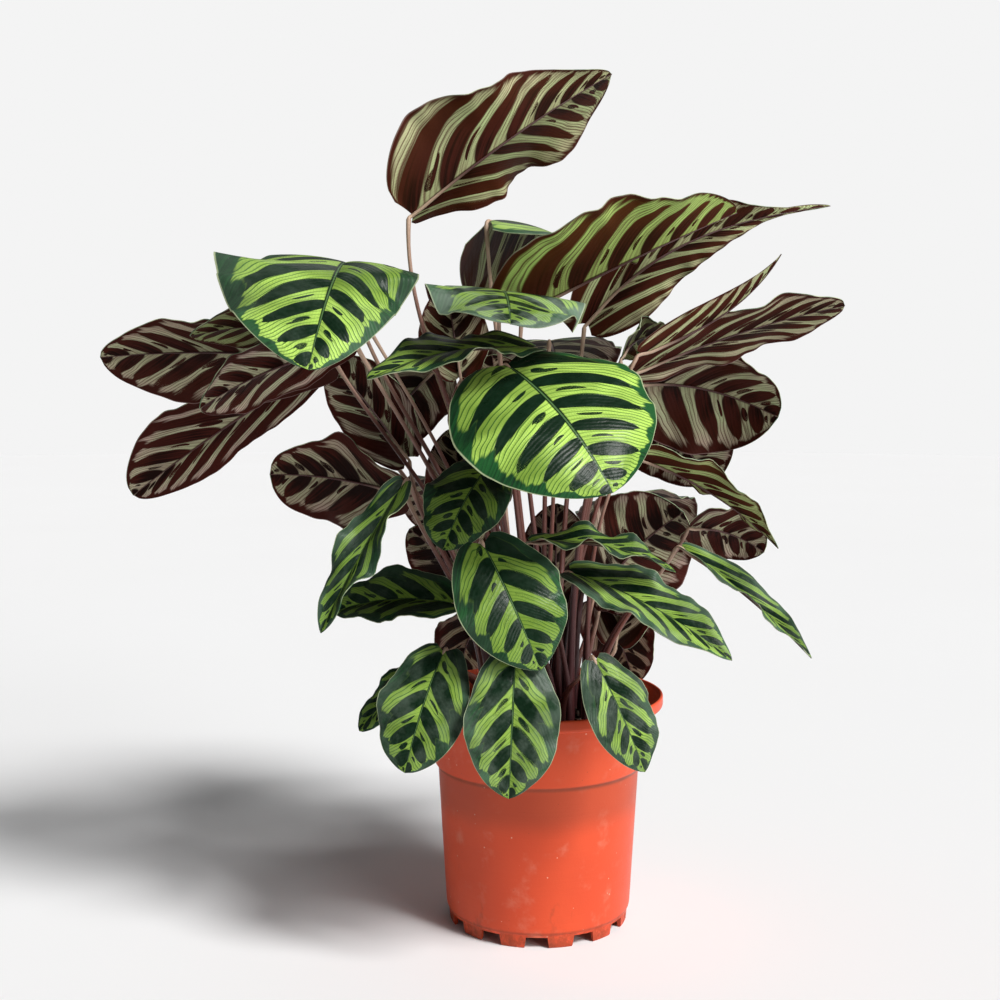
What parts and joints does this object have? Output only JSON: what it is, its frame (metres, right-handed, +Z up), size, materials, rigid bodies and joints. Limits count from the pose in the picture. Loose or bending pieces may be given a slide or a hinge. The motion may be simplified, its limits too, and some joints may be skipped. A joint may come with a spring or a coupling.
{
  "type": "potted peacock plant",
  "caption": "Bushy potted foliage plant with patterned oval leaves, purple beneath, on slender stalks in a terracotta-coloured plastic nursery pot.",
  "frame": {"origin": "middle of the whole plant's footprint, on the surface that the pot's feet stand on", "axes": "+Z up, -Y towards the front of the plant, +X to the right as seen from the front"},
  "size_m": [0.5142, 0.3402, 0.5812],
  "materials": {
    "pot_plastic": "terracotta-coloured moulded plastic with a satin skin, dusty and scuffed",
    "soil": "dark moist peat compost, crumbly and rough",
    "leaf": "light green with dark green blotches and veins above, purple blotches beneath, waxy gloss"
  },
  "bodies": {
    "root": {"pot": "pot_plastic", "soil": "soil", "leaf_01": "leaf", "leaf_02": "leaf", "leaf_03": "leaf", "leaf_04": "leaf", "leaf_05": "leaf", "leaf_06": "leaf", "leaf_07": "leaf", "leaf_08": "leaf", "leaf_09": "leaf", "leaf_10": "leaf", "leaf_11": "leaf", "leaf_12": "leaf", "leaf_13": "leaf", "leaf_14": "leaf", "leaf_15": "leaf", "leaf_16": "leaf", "leaf_17": "leaf", "leaf_18": "leaf", "leaf_19": "leaf", "leaf_20": "leaf", "leaf_21": "leaf", "leaf_22": "leaf", "leaf_23": "leaf", "leaf_24": "leaf", "leaf_25": "leaf", "leaf_26": "leaf", "leaf_27": "leaf", "leaf_28": "leaf", "leaf_29": "leaf", "leaf_30": "leaf", "leaf_31": "leaf", "leaf_32": "leaf", "leaf_33": "leaf", "leaf_34": "leaf", "leaf_35": "leaf", "leaf_36": "leaf", "leaf_37": "leaf", "leaf_38": "leaf", "leaf_39": "leaf", "leaf_40": "leaf", "leaf_41": "leaf", "leaf_42": "leaf", "leaf_43": "leaf", "leaf_44": "leaf", "leaf_45": "leaf", "leaf_46": "leaf", "leaf_47": "leaf", "leaf_48": "leaf"}
  },
  "joints": []
}
